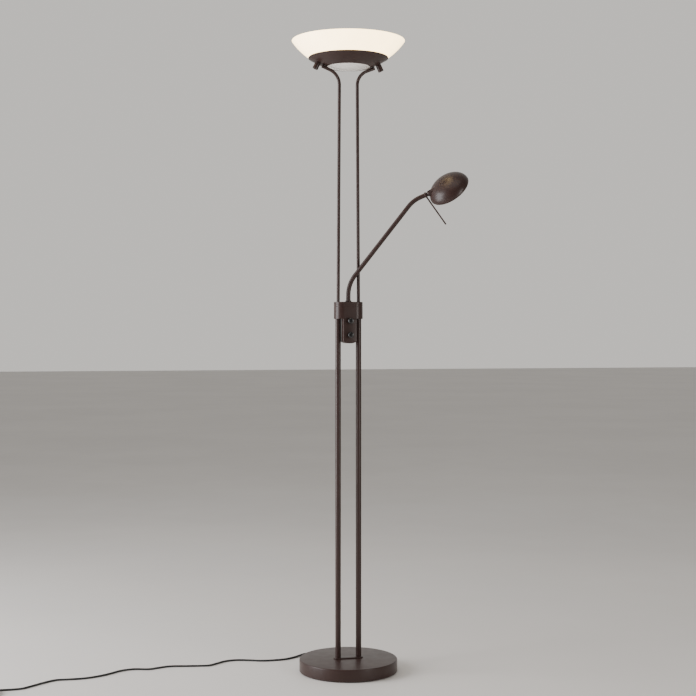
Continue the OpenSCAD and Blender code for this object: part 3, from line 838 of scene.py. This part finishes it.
@dataclass
class ControlBlock:
    """The oblong block that joins the poles, with the dimmer housing below it."""

    groove: float = 0.8 * MM
    groove_at: float = 6 * MM
    groove_depth: float = 0.7 * MM
    gap: float = 0.7 * MM
    step: float = 1 * MM
    edge: float = 0.5 * MM
    housing_edge: float = 2.2 * MM
    housing_wall: float = 2 * MM
    bottom_radius: float = 40 * MM
    corner: float = 1.5 * MM
    cover_gap: float = 0.15 * MM

    def block(self) -> Piece:
        """Stacks the block's two bands around the recessed core that shows as a seam."""
        low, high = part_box("block_body")
        length, width = high.x - low.x, high.y - low.y
        seam = high.z - self.groove_at
        core = (length - 2 * self.groove_depth, width - 2 * self.groove_depth)
        shape = Shaper()
        shape.slab((length, width), width / 2, low.z, seam, self.edge, segments=24)
        shape.slab(core, core[1] / 2, seam - self.edge, seam + self.groove + self.edge, segments=24)
        shape.slab((length, width), width / 2, seam + self.groove, high.z, self.edge, segments=24)
        return shape.placed("banded_block_body", "block_body")

    def cap(self) -> Piece:
        """Makes the cap, with a shadow gap at its foot and a low step on top."""
        low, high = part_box("block_cap")
        length, width = high.x - low.x, high.y - low.y
        core = (length - 2 * self.groove_depth, width - 2 * self.groove_depth)
        top = (length - 2 * self.step, width - 2 * self.step)
        shape = Shaper()
        shape.slab(core, core[1] / 2, low.z, low.z + self.gap + self.edge, segments=24)
        shape.slab((length, width), width / 2, low.z + self.gap, high.z - self.step, self.edge, segments=24)
        shape.slab(top, top[1] / 2, high.z - self.step - self.edge, high.z, self.edge, segments=24)
        return shape.placed("stepped_block_cap", "block_cap")

    def outline(self, inset: float) -> list[Point]:
        """Returns the housing's front view: straight sides, and a shallow round bottom."""
        low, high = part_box("dimmer_housing")
        half = (high.x - low.x) / 2 - inset
        radius = self.bottom_radius - inset
        centre = low.z + self.bottom_radius
        reach = math.degrees(math.asin(half / radius))
        bottom = arc((0, centre), (radius, radius), 270 - reach, 270 + reach, 14)
        bottom[0], bottom[-1] = (*bottom[0], self.corner), (*bottom[-1], self.corner)
        return [(-half, high.z - inset)] + bottom + [(half, high.z - inset)]

    def housing(self) -> Piece:
        """Makes the housing with rounded front edges and a recess for its back cover."""
        low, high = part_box("dimmer_housing")
        shape = Shaper()
        shape.panel(self.outline(0), high.y - low.y, self.housing_edge, shift(0, low.y, 0))
        housing = shape.piece("rounded_dimmer_housing")
        recess = Shaper()
        recess.panel(self.outline(self.housing_wall), 2 * self.housing_wall + MM,
                     at=shift(0, high.y - self.housing_wall - MM, 0))
        carve(housing, recess.piece("recess"), "DIFFERENCE")
        return place(housing, Body.STAND, Slot.PAINT, "dimmer_housing")

    def back_cover(self) -> Piece:
        """Makes the flat back cover that closes the housing."""
        low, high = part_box("housing_back_cover")
        shape = Shaper()
        shape.panel(self.outline(self.housing_wall + self.cover_gap), high.y - low.y, 0.35 * MM,
                    shift(0, low.y, 0))
        return shape.placed("flush_back_cover", "housing_back_cover")

    def build(self) -> None:
        """Builds the block's pieces."""
        self.block()
        self.cap()
        self.housing()
        self.back_cover()


@dataclass
class Knob:
    """One dimmer knob: a short polished cylinder with a well rounded face and a pointer line."""

    which: str
    body: Body
    skirt: float = 0.5 * MM
    face_round: float = 3.4 * MM

    def build(self) -> Piece:
        """Spins the knob and cuts its pointer line."""
        low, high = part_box(f"knob_{self.which}")
        r = (high.x - low.x) / 2
        length = high.y - low.y
        at = shift((low.x + high.x) / 2, high.y, (low.z + high.z) / 2) @ turn(90, "X")
        shape = Shaper()
        shape.lathe([(0, 0), (r - 0.3 * MM, 0, 0.2 * MM), (r, 1.2 * MM, 0.3 * MM),
                     (r, length, self.face_round), (0, length + 0.2 * MM)], steps=72, at=at)
        knob = shape.piece(f"turned_knob_{self.which}")
        mark = Shaper()
        mark.slab((3.2 * MM, 0.9 * MM), 0.4 * MM, length - 3.5 * MM, length + MM,
                  at=at @ shift(r - 0.6 * MM, 0, 0))
        carve(knob, mark.piece("mark"), "DIFFERENCE")
        return place(knob, self.body, Slot.KNOB, f"knob_{self.which}")


# ---- Reading arm and head ----


@dataclass
class ReadingArm:
    """The bent tube that swivels in the block's cap, with its collar."""

    turn: float = -25.0
    foot: float = 1022 * MM
    radius: float = 6.35 * MM
    steps: tuple[Point, ...] = ((52.4 * MM, 90 * MM, 38.6), (247.5 * MM, 85 * MM, 29.1), (13.5 * MM, 0, 0))

    def tube(self) -> Piece:
        """Draws the arm's tube with its two bends."""
        shape = Shaper()
        start = turn(self.turn, "Z") @ shift(0, 0, self.foot)
        shape.pipe(self.steps, self.radius, start, sides=48)
        return shape.placed("bent_reading_arm", "reading_arm", Body.ARM)

    def collar(self) -> Piece:
        """Spins the small collar at the arm's foot."""
        low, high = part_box("arm_collar")
        r = (high.x - low.x) / 2
        shape = Shaper()
        shape.lathe([(self.radius, low.z), (r, low.z, 0.3 * MM), (r, high.z, 1.2 * MM),
                     (self.radius, high.z)], steps=64, closed=True)
        return shape.placed("turned_arm_collar", "arm_collar", Body.ARM)

    def build(self) -> None:
        """Builds the arm's pieces."""
        self.tube()
        self.collar()


class HeadFrame:
    """Frames of the reading head, worked out from its two joints."""

    def __init__(self, lean: float) -> None:
        """Reads the turning and tilting joints.

        Args:
            lean: Tilt of the shade about its pin at rest, in degrees.
        """
        end, along = joint_frame("head_turn")
        pin, across = joint_frame("head_tilt")
        turned = Matrix((across.cross(along), across, along)).transposed().to_4x4()
        self.neck = shift(*end) @ turned
        self.pin = shift(*pin) @ turned @ turn(lean, "Y")

    def shade(self, reach: float) -> Matrix:
        """Returns the shade's frame: x along the neck, y along the pin, z to the crown."""
        return self.pin @ shift(0, 0, reach) @ turn(-90, "Y")


@dataclass
class ReadingHead:
    """The swivelling neck with its aiming rod, and the domed shade with its lens."""

    lean: float = -7.3
    pin_at: float = 15 * MM
    tongue: float = 11 * MM
    tongue_foot: float = 5 * MM
    tongue_play: float = 0.4 * MM
    reach: float = 53 * MM
    rim_radius: float = 61 * MM
    height: float = 37 * MM
    rim_at: float = -22 * MM
    sheet: float = 1.5 * MM
    cheek: float = 8.5 * MM
    slot_half: float = 3.6 * MM
    slot_end: float = 6.2 * MM
    slot_start: float = 13 * MM
    vent: float = 1.5 * MM
    vent_rings: tuple[tuple[float, int], ...] = ((13 * MM, 10), (6.5 * MM, 5))
    rod_at: Point = (-2 * MM, -4.1 * MM, -12.2 * MM)
    rod_length: float = 115 * MM
    rod_radius: float = 2.2 * MM

    def swivel(self, at: Matrix) -> Piece:
        """Makes the neck: a chamfered disc with a round-ended tongue for the pin."""
        shape = Shaper()
        shape.lathe(mm((0, 0.3), (6.6, 0.3, 0.2), (8, 1.7, 0.4), (8, 6.2, 0.5), (0, 6.2)), steps=64, at=at)
        half = self.slot_half - self.tongue_play
        flat = at @ turn(90, "X")
        centre = shift(0, (self.tongue_foot + self.pin_at + self.tongue / 2) / 2, 0)
        shape.slab((self.tongue, self.pin_at + self.tongue / 2 - self.tongue_foot), 5.49 * MM, -half, half,
                   0.3 * MM, at=flat @ centre)
        return shape.placed("turned_neck_swivel", "neck_swivel", Body.NECK)

    def inner_arc(self) -> list[Point]:
        """Points of the shade's inner face from its rim to its crown."""
        inner = arc((0, self.rim_at), (self.rim_radius - self.sheet, self.height - self.sheet), 0, 90, 40)
        inner[-1] = (0, inner[-1][1])
        return inner

    def dome(self, at: Matrix) -> Piece:
        """Makes the shade: a domed shell, its neck boss with the pin's slot, and its vents."""
        outer = arc((0, self.rim_at), (self.rim_radius, self.height), 90, 0, 40)
        inner = self.inner_arc()
        outer[0] = (0, outer[0][1])
        outer[-1], inner[0] = (*outer[-1], 0.4 * MM), (*inner[0], 0.4 * MM)
        shell = Shaper()
        shell.lathe(outer + inner, steps=144, at=at)
        shade = shell.piece("domed_reading_shade")
        carve(shade, self.boss(at), "UNION")
        along = at @ shift(-self.reach, 0, 0)
        cutters = Shaper()
        cutters.slab((self.slot_start + self.slot_end, 2 * self.slot_half), 0.5 * MM, -6.3 * MM, 20 * MM,
                     at=along @ shift((self.slot_end - self.slot_start) / 2, 0, 0))
        for radius, count in self.vent_rings:
            for k in range(count):
                a = FULL_TURN * k / count
                cutters.lathe([(0, 0), (self.vent, 0), (self.vent, 30 * MM), (0, 30 * MM)], steps=20,
                              at=at @ shift(radius * math.cos(a), radius * math.sin(a), 0))
        carve(shade, cutters.piece("vents"), "DIFFERENCE")
        return place(shade, Body.HEAD, Slot.PAINT, "reading_shade")

    def boss(self, at: Matrix) -> Piece:
        """Makes the round boss that joins the shade to its tilt pin, and its short core inside."""
        along = at @ shift(-self.reach, 0, 0) @ turn(90, "Y")
        c = self.cheek
        nose = arc((0, 0), (c, c), -90, -6, 12)
        shape = Shaper()
        shape.lathe([(0, -c)] + nose[1:] + [(c, 2 * MM), (c + MM, 21 * MM), (0, 21 * MM)], steps=64,
                    at=along)
        boss = shape.piece("boss")
        hollow = Shaper()
        rim = self.rim_radius - self.sheet
        hollow.lathe([(0, self.rim_at - 2 * MM), (rim, self.rim_at - 2 * MM)] + self.inner_arc(), at=at)
        carve(boss, hollow.piece("hollow"), "DIFFERENCE")
        core = Shaper()
        core.lathe([(0, 0), (c - 0.1 * MM, 0), (c - 0.1 * MM, 11 * MM), (0, 11 * MM)], steps=48, at=along)
        carve(boss, core.piece("core"), "UNION")
        return boss

    def lens(self, at: Matrix) -> None:
        """Makes the frosted lens and the ring that holds it."""
        shape = Shaper()
        r, low = self.rim_radius - self.sheet - 0.7 * MM, self.rim_at
        shape.lathe([(0, low + 2 * MM), (r, low + 2 * MM, 0.4 * MM), (r, low + 4 * MM, 0.4 * MM),
                     (0, low + 4.6 * MM)], at=at)
        shape.placed("frosted_reading_lens", "reading_lens", Body.HEAD, Slot.OPAL)
        ring = Shaper()
        ring.lathe([(r - 1.8 * MM, low + 0.4 * MM, 0.5 * MM), (r + 0.4 * MM, low + 0.4 * MM, 0.3 * MM),
                    (r + 0.4 * MM, low + 2 * MM), (r - 1.8 * MM, low + 2 * MM)], at=at, closed=True)
        ring.placed("rolled_lens_ring", "lens_ring", Body.HEAD, Slot.STEEL)

    def rod(self, at: Matrix) -> Piece:
        """Makes the aiming rod with a round end."""
        r, length = self.rod_radius, self.rod_length
        tip = arc((0, length), (r, r), 0, 90, 8)
        tip[-1] = (0, length + r)
        shape = Shaper()
        shape.lathe([(0, 0), (r, 0)] + tip, steps=32,
                    at=at @ shift(*self.rod_at) @ turn(90, "Y"))
        return shape.placed("turned_aiming_rod", "aiming_rod", Body.NECK)

    def build(self) -> None:
        """Builds the neck and the head."""
        frames = HeadFrame(self.lean)
        self.swivel(frames.neck)
        self.rod(frames.pin)
        at = frames.shade(self.reach)
        self.dome(at)
        self.lens(at)


# ---- Uplighter head ----


@dataclass
class Uplighter:
    """The ring dish on two posts, and the opal glass bowl that it carries."""

    glass_radius: float = 200 * MM
    glass: float = 4 * MM
    glass_steps: int = 56
    ground_edge: float = 1.2 * MM
    dish_gap: float = 0.4 * MM
    dish: float = 1.5 * MM
    hole: float = 62 * MM
    ring: float = 113 * MM
    post_reach: float = 88 * MM
    post_length: float = 21 * MM
    post_radius: float = 8 * MM

    def centre(self) -> float:
        """Returns the height of the glass sphere's centre."""
        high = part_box("glass_bowl")[1]
        return high.z + math.sqrt(self.glass_radius ** 2 - high.x ** 2)

    def shell_arc(self, radius: float, start: float, stop: float, steps: int) -> list[Point]:
        """Points along a shell between two distances from the lamp's axis."""
        angles = [270 + math.degrees(math.asin(reach / radius)) for reach in (start, stop)]
        return arc((0, self.centre()), (radius, radius), angles[0], angles[1], steps)

    def bowl(self) -> Piece:
        """Spins the glass bowl with its ground rim."""
        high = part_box("glass_bowl")[1]
        inner_radius = self.glass_radius - self.glass
        drop = self.centre() - high.z
        inner_reach = math.sqrt(inner_radius ** 2 - drop ** 2)
        outer = self.shell_arc(self.glass_radius, 0, high.x, self.glass_steps)
        inner = self.shell_arc(inner_radius, inner_reach, 0, self.glass_steps)
        outer[-1], inner[0] = (*outer[-1], self.ground_edge), (*inner[0], self.ground_edge)
        shape = Shaper()
        shape.lathe(outer + inner, steps=192)
        return shape.placed("blown_glass_bowl", "glass_bowl", Body.STAND, Slot.GLASS)

    def ring_dish(self) -> Piece:
        """Spins the ring dish, with its upright lip."""
        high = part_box("ring_dish")[1]
        inside = self.glass_radius + self.dish_gap
        outside = inside + self.dish
        under = self.shell_arc(outside, self.hole, self.ring, 20)
        over = self.shell_arc(inside, self.ring, self.hole, 20)
        under[0], over[-1] = (*under[0], 0.6 * MM), (*over[-1], 0.6 * MM)
        shape = Shaper()
        lip = high.x
        shape.lathe(under[:-1] + [(lip, under[-1][1], 0.8 * MM), (lip, high.z, 0.5 * MM),
                                  (self.ring - 0.4 * MM, high.z, 0.4 * MM),
                                  (self.ring - 0.4 * MM, over[0][1])]
                    + over[1:], steps=160, closed=True)
        return shape.placed("spun_ring_dish", "ring_dish")

    def posts(self) -> Piece:
        """Turns the two posts between the upper tubes and the dish, each with a slot in its end."""
        angle = math.asin(self.post_reach / (self.glass_radius + self.dish_gap + self.dish))
        shape = Shaper()
        r, length = self.post_radius, self.post_length
        for side in Side:
            at = (mirrored(side) @ shift(0, 0, self.centre()) @ Matrix.Rotation(-angle, 4, "Y")
                  @ shift(0, 0, -self.glass_radius - self.dish_gap - self.dish - length))
            shape.lathe([(0, 1.2 * MM), (2.6 * MM, 1.2 * MM), (3.2 * MM, 0, 0.3 * MM), (r, 0, 0.9 * MM),
                         (r, length - 2.2 * MM, 0.3 * MM), (r - 0.6 * MM, length - 1.8 * MM, 0.2 * MM),
                         (r - 0.6 * MM, length + 0.2 * MM), (0, length + 0.2 * MM)], steps=56, at=at)
        return shape.placed("turned_head_posts", "head_posts")

    def build(self) -> None:
        """Builds the bowl and what carries it."""
        self.bowl()
        self.ring_dish()
        self.posts()


# ---- Cord ----


@dataclass
class MainsCord:
    """The mains cord: its gland, its run along the floor, its coil, its tie and its plug."""

    diameter: float = 5.5 * MM
    # The floor run's points lie one radius up, so their height is left out
    route: tuple[Point, ...] = in_metres(2.75, (
        (-28.7, 162.5, 9), (-33, 184, 5.5), (-44, 205), (-66, 217), (-92, 209), (-118, 184), (-152, 163),
        (-192, 157), (-228, 160), (-262, 174), (-298, 184), (-330, 177), (-356, 157), (-382, 138),
        (-412, 140), (-452, 146), (-494, 153), (-526, 144), (-556, 133), (-596, 143), (-634, 134),
        (-668, 106), (-704, 83), (-744, 70), (-786, 69), (-818, 69), (-850, 47), (-882, 19), (-910, -3),
        (-946, -6), (-980, -4, 3)))
    tail: tuple[Point, ...] = in_metres(2.75, (
        (-1043.5, -44, 13.8), (-1043.5, -53, 11), (-1043.5, -62, 8), (-1043.5, -70, 6.85),
        (-1043.5, -78, 6.85)))
    coil_centre: Point = (-1.005, -0.036)
    # Winding: turned angle in degrees, radius and height; between two of them the cord shifts smoothly
    winding: tuple[Point, ...] = (
        (0, 32.75, 3.55), (220, 32.75, 3.55), (360, 27.25, 3.55), (580, 27.25, 3.55),
        (720, 27.25, 9.05), (940, 27.25, 9.05), (1080, 32.75, 9.05), (1300, 32.75, 9.05),
        (1440, 33.5, 14.4), (1530, 38.5, 14.4))
    bulges: tuple[Point, ...] = ((580, 720, -1.8), (1300, 1440, 2.0))
    turn_step: int = 15
    parts: int = 4
    gland_angle: float = 100.0
    ribs: int = 5
    grips: int = 4
    pin_apart: float = 9.3 * MM

    def coil(self) -> list[Vector]:
        """Winds the coil turn by turn.

        Returns:
            Its points, every few degrees, from where the floor run meets it.
        """
        points = []
        for turned in range(0, self.winding[-1][0] + 1, self.turn_step):
            pairs = zip(self.winding, self.winding[1:])
            first, second = next(pair for pair in pairs if turned <= pair[1][0])
            s = (turned - first[0]) / (second[0] - first[0])
            s = s * s * (3 - 2 * s)
            radius = first[1] + s * (second[1] - first[1])
            for start, stop, bulge in self.bulges:
                if start < turned < stop:
                    radius += bulge * math.sin(math.pi * (turned - start) / (stop - start))
            a = math.radians(90 + turned)
            height = (first[2] + s * (second[2] - first[2])) * MM
            points.append(Vector((self.coil_centre[0] + radius * MM * math.cos(a),
                                  self.coil_centre[1] + radius * MM * math.sin(a), height)))
        return points

    @staticmethod
    def smooth(points: list[Vector], parts: int) -> list[Vector]:
        """Runs a smooth curve through points.

        Args:
            points: The points that it passes.
            parts: How many stretches go between two of them.

        Returns:
            The curve's points.
        """
        ends = [points[0]] + points + [points[-1]]
        made = []
        for a, b, c, d in zip(ends, ends[1:], ends[2:], ends[3:]):
            for k in range(parts):
                t = k / parts
                made.append(0.5 * (2 * b + (c - a) * t + (2 * a - 5 * b + 4 * c - d) * t * t
                                   + (3 * b - a - 3 * c + d) * t ** 3))
        return made + [points[-1]]

    def flex(self) -> Piece:
        """Lays the cord as one round curve."""
        run, tail = [Vector(p) for p in self.route], [Vector(p) for p in self.tail]
        points = self.smooth(run + self.coil() + tail, self.parts)
        curve = bpy.data.curves.new("mains_flex", "CURVE")
        curve.dimensions = "3D"
        curve.bevel_depth = self.diameter / 2
        curve.bevel_resolution = 6
        line = curve.splines.new("POLY")
        line.points.add(len(points) - 1)
        for knot, point in zip(line.points, points):
            knot.co = (*point, 1)
        line.use_smooth = True
        return place(show("mains_flex", curve), Body.STAND, Slot.CORD, "cord", "cord_coil")

    def length(self, flex: Piece) -> float:
        """Returns the cord's length along its own line."""
        points = [Vector(p.co[:3]) for p in flex.data.splines[0].points]
        return sum((b - a).length for a, b in zip(points, points[1:]))

    def gland(self) -> Piece:
        """Spins the ribbed strain relief in the base's back edge."""
        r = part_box("base_cover")[1].x
        at = (turn(self.gland_angle, "Z") @ shift(r, 0, self.route[0][2])
              @ turn(90, "Y"))
        outline = [(0, -5), (5.4, -5), (5, -3), (5, 0), (6.4, 0, 0.3), (6.4, 2.5, 0.8)]
        for k in range(self.ribs):
            z = 4 + 3.8 * k
            outer = 5.0 - 0.07 * (z - 2)
            outline += [(outer - 0.8, z - 1, 0.2), (outer, z, 0.3), (outer, z + 1.4, 0.3),
                        (outer - 0.8, z + 2.2, 0.2)]
        shape = Shaper()
        shape.lathe(mm(*outline, (3.5, 25, 0.3), (0, 25)), steps=48, at=at)
        return shape.placed("ribbed_cord_gland", "cord_gland", Body.STAND, Slot.CORD)

    def tie(self) -> Piece:
        """Makes the strap that holds the coil, with its small lock."""
        low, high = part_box("cord_tie")
        middle = (low + high) / 2
        size = high - low
        at = shift(*middle) @ turn(90, "Y")
        shape = Shaper()
        shape.slab((size.z, size.y), 2.5 * MM, -2.2 * MM, 2.2 * MM, 0.2 * MM, at=at)
        tie = shape.piece("coil_tie")
        hollow = Shaper()
        hollow.slab((size.z - 1.6 * MM, size.y - 1.6 * MM), 2 * MM, -9 * MM, 9 * MM, at=at)
        carve(tie, hollow.piece("hollow"), "DIFFERENCE")
        lock = Shaper()
        lock.slab((5.5 * MM, 5 * MM), 0.8 * MM, high.z - 0.5 * MM, high.z + 2.8 * MM, 0.3 * MM,
                  at=shift(middle.x, middle.y, 0))
        carve(tie, lock.piece("lock"), "UNION")
        return place(tie, Body.STAND, Slot.TIE, "cord_tie")

    def plug(self) -> list[Piece]:
        """Makes the flat two-pin plug, with its ribbed relief and its round pins."""
        low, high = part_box("mains_plug")
        x, z = (low.x + high.x) / 2, (low.z + high.z) / 2
        mouth = shift(x, high.y, z) @ turn(90, "X")
        half, thick, shoulder = (high.x - low.x) / 2, high.z - low.z, 24 * MM
        shape = Shaper()
        lying = mouth @ shift(0, -thick / 2, shoulder)
        shape.panel([(-7 * MM, 0, 2 * MM), (7 * MM, 0, 2 * MM), (half, 18 * MM, 6 * MM),
                     (half, 36 * MM, 2.5 * MM), (-half, 36 * MM, 2.5 * MM), (-half, 18 * MM, 6 * MM)],
                    thick, 2.2 * MM, at=lying)
        relief = [(0, 0), (3.6, 0, 0.3)]
        for k in range(self.ribs):
            y = 2.5 + 4 * k
            outer = 3.7 + 0.055 * y
            relief += [(outer, y, 0.2), (outer - 0.7, y + 0.8, 0.2), (outer - 0.7, y + 1.8, 0.2),
                       (outer, y + 2.6, 0.2)]
        shape.lathe(mm(*relief, (5, 25), (0, 25)), steps=40, at=mouth)
        for k in range(self.grips):
            for side in Side:
                shape.slab((16 * MM, 1.4 * MM), 0.6 * MM, -0.4 * MM, 0.45 * MM, 0.25 * MM,
                           at=mouth @ shift(0, side.value * (thick / 2), 44 * MM + 3 * MM * k)
                           @ turn(90, "X"))
        body = shape.placed("moulded_mains_plug", "mains_plug", Body.STAND, Slot.PLUG)
        return [body, self.pins(mouth)]

    def pins(self, mouth: Matrix) -> Piece:
        """Makes the plug's two round pins."""
        shape = Shaper()
        for side in Side:
            tip = arc((0, 21 * MM), (2 * MM, 2 * MM), 0, 90, 8)
            tip[-1] = (0, 23 * MM)
            shape.lathe(mm((0, 0), (2, 0), (2, 12), (1.85, 12.1), (1.85, 20)) + tip, steps=32,
                        at=mouth @ shift(side.value * self.pin_apart, 0, 56 * MM))
        return shape.placed("round_plug_pins", "plug_pins", Body.STAND, Slot.PIN)

    def build(self) -> None:
        flex = self.flex()
        extras = [self.tie(), *self.plug()]
        self.gland()


# ---- Studio ----


@dataclass
class Studio:
    """Plain pale floor, soft lights and the camera."""

    camera_at: Point = (-0.872, -3.773, 0.970)
    heading: float = -13.0
    lens: float = 70.0
    shift: float = -0.0237
    floor_half: float = 30.0
    floor_drop: float = 0.2 * MM
    sky: Colour = (0.625, 0.605, 0.575)
    front: float = 0.32
    back: float = 1.15

    def camera(self) -> None:
        """Sets up the camera."""
        data = bpy.data.cameras.new("camera")
        data.lens, data.sensor_width, data.shift_y = self.lens, 36.0, self.shift
        camera = show("camera", data)
        camera.location = self.camera_at
        camera.rotation_euler = (math.radians(90), 0, math.radians(self.heading))
        bpy.context.scene.camera = camera

    def floor(self) -> None:
        """Lays the pale floor."""
        shape = Shaper()
        sheet = bmesh.ops.create_grid(shape.bm, x_segments=1, y_segments=1, size=self.floor_half)["verts"]
        bmesh.ops.translate(shape.bm, vec=(0, 0, -self.floor_drop), verts=sheet)
        floor = shape.piece("pale_floor")
        bench = Bench("pale_floor")
        bench.set(Specular_IOR_Level=0.3)
        bench.colour(bench.spread(bench.noise(1.5), 0.0, 1.0), (0.78, 0.75, 0.72), (0.82, 0.79, 0.76))
        bench.rough(bench.noise(0.2), 0.5, 0.6)
        floor.data.materials.append(bench.material)

    def light(self, name: str, at: Point, aim: Point, size: Point, power: float, colour: Colour) -> None:
        """Hangs one soft light.

        Args:
            name: Its name.
            at: Where it hangs.
            aim: The point that it faces.
            size: Its width and height.
            power: Its power in watts.
            colour: Its colour.
        """
        data = bpy.data.lights.new(name, "AREA")
        data.shape, data.size, data.size_y = "RECTANGLE", size[0], size[1]
        data.energy, data.color = power, colour
        lamp = show(name, data)
        lamp.location = at
        lamp.rotation_euler = (Vector(at) - Vector(aim)).to_track_quat("Z", "Y").to_euler()

    def lights(self) -> None:
        """Hangs the soft lights and fills the surroundings with pale light."""
        self.light("left_window", (-3.3, 0.0, 1.45), (0, 0, 1.2), (2.2, 2.9), 195, (0.98, 0.98, 1.0))
        self.light("right_fill", (2.2, -3.3, 1.2), (0, 0, 0.9), (1.2, 2.2), 56, (1.0, 0.96, 0.92))
        self.light("ceiling", (-0.6, -0.7, 3.4), (0, 0, 0.2), (2.6, 1.4), 16, (1.0, 0.98, 0.95))
        world = bpy.data.worlds.new("pale_room")
        world.use_nodes = True
        tree = world.node_tree
        where = tree.nodes.new("ShaderNodeTexCoord")
        split = tree.nodes.new("ShaderNodeSeparateXYZ")
        depth = tree.nodes.new("ShaderNodeMapRange")
        tree.links.new(where.outputs["Generated"], split.inputs["Vector"])
        tree.links.new(split.outputs["Y"], depth.inputs["Value"])
        for name, number in (("From Min", -0.2), ("From Max", 0.7), ("To Min", self.front),
                             ("To Max", self.back)):
            depth.inputs[name].default_value = number
        background = tree.nodes["Background"]
        background.inputs["Color"].default_value = (*self.sky, 1)
        tree.links.new(depth.outputs["Result"], background.inputs["Strength"])
        bpy.context.scene.world = world

    def build(self) -> None:
        """Builds the floor and the lights."""
        self.floor()
        self.lights()


def dress_frame(nodes: dict[str, Piece]) -> None:
    """Gives every CAD node the finish of its material slot.

    Args:
        nodes: The frame's nodes by name.
    """
    for part in frame["record"]["subparts"]:
        node = nodes[part["node"]]
        for holder in node.material_slots:
            holder.material = MATERIALS[Slot(part["material_slot"])]
        LOG.info("%s: finished as %s", part["node"], part["material_slot"])


def main() -> None:
    """Builds the lamp's looks, assembly by assembly."""
    logging.basicConfig(level=logging.INFO, format="%(message)s")
    studio = Studio()
    studio.camera()
    MainsCord().build()
    dress_frame(frame["nodes"])
    Base().build()
    Poles().build()
    ControlBlock().build()
    Knob("upper", Body.UPPER_KNOB).build()
    Knob("lower", Body.LOWER_KNOB).build()
    ReadingArm().build()
    ReadingHead().build()
    Uplighter().build()
    studio.build()


if __name__ == "__main__":
    main()
